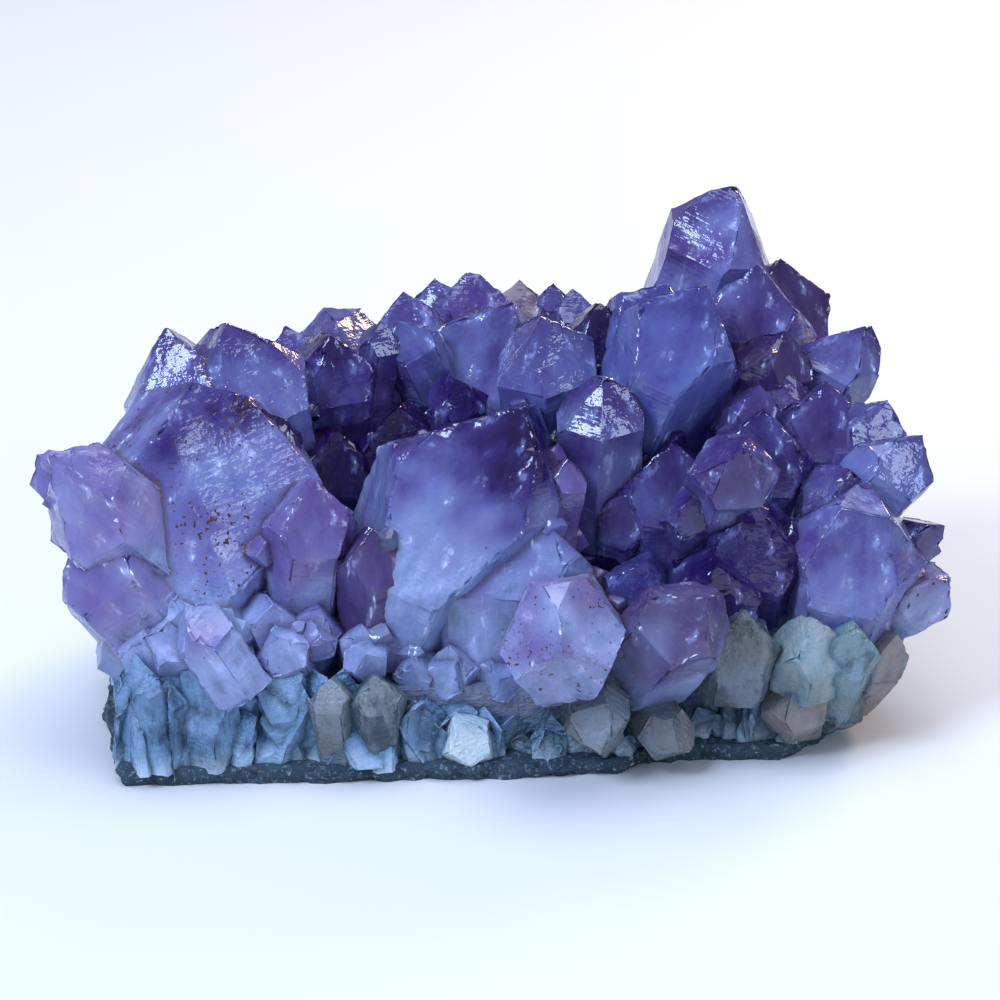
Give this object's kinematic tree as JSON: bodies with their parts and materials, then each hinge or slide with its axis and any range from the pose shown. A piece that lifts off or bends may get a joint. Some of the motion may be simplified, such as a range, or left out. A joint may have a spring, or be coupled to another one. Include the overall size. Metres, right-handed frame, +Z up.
{
  "type": "amethyst cluster",
  "caption": "Hand-sized amethyst cluster: violet quartz points with milky roots, crowded on a band of colourless quartz and a thin rind of dark rock that it stands on.",
  "frame": {"origin": "on the flat underside of the rock rind, below the middle of the cluster", "axes": "+X to the right along the cluster's length, +Y to the back, +Z up"},
  "size_m": [0.1359, 0.089, 0.0718],
  "materials": {
    "amethyst": "gloss",
    "colourless_quartz": "gloss",
    "basalt": "matte"
  },
  "bodies": {
    "root": {"amethyst_points": "amethyst", "quartz_crust": "colourless_quartz", "basalt_rind": "basalt"}
  },
  "joints": []
}
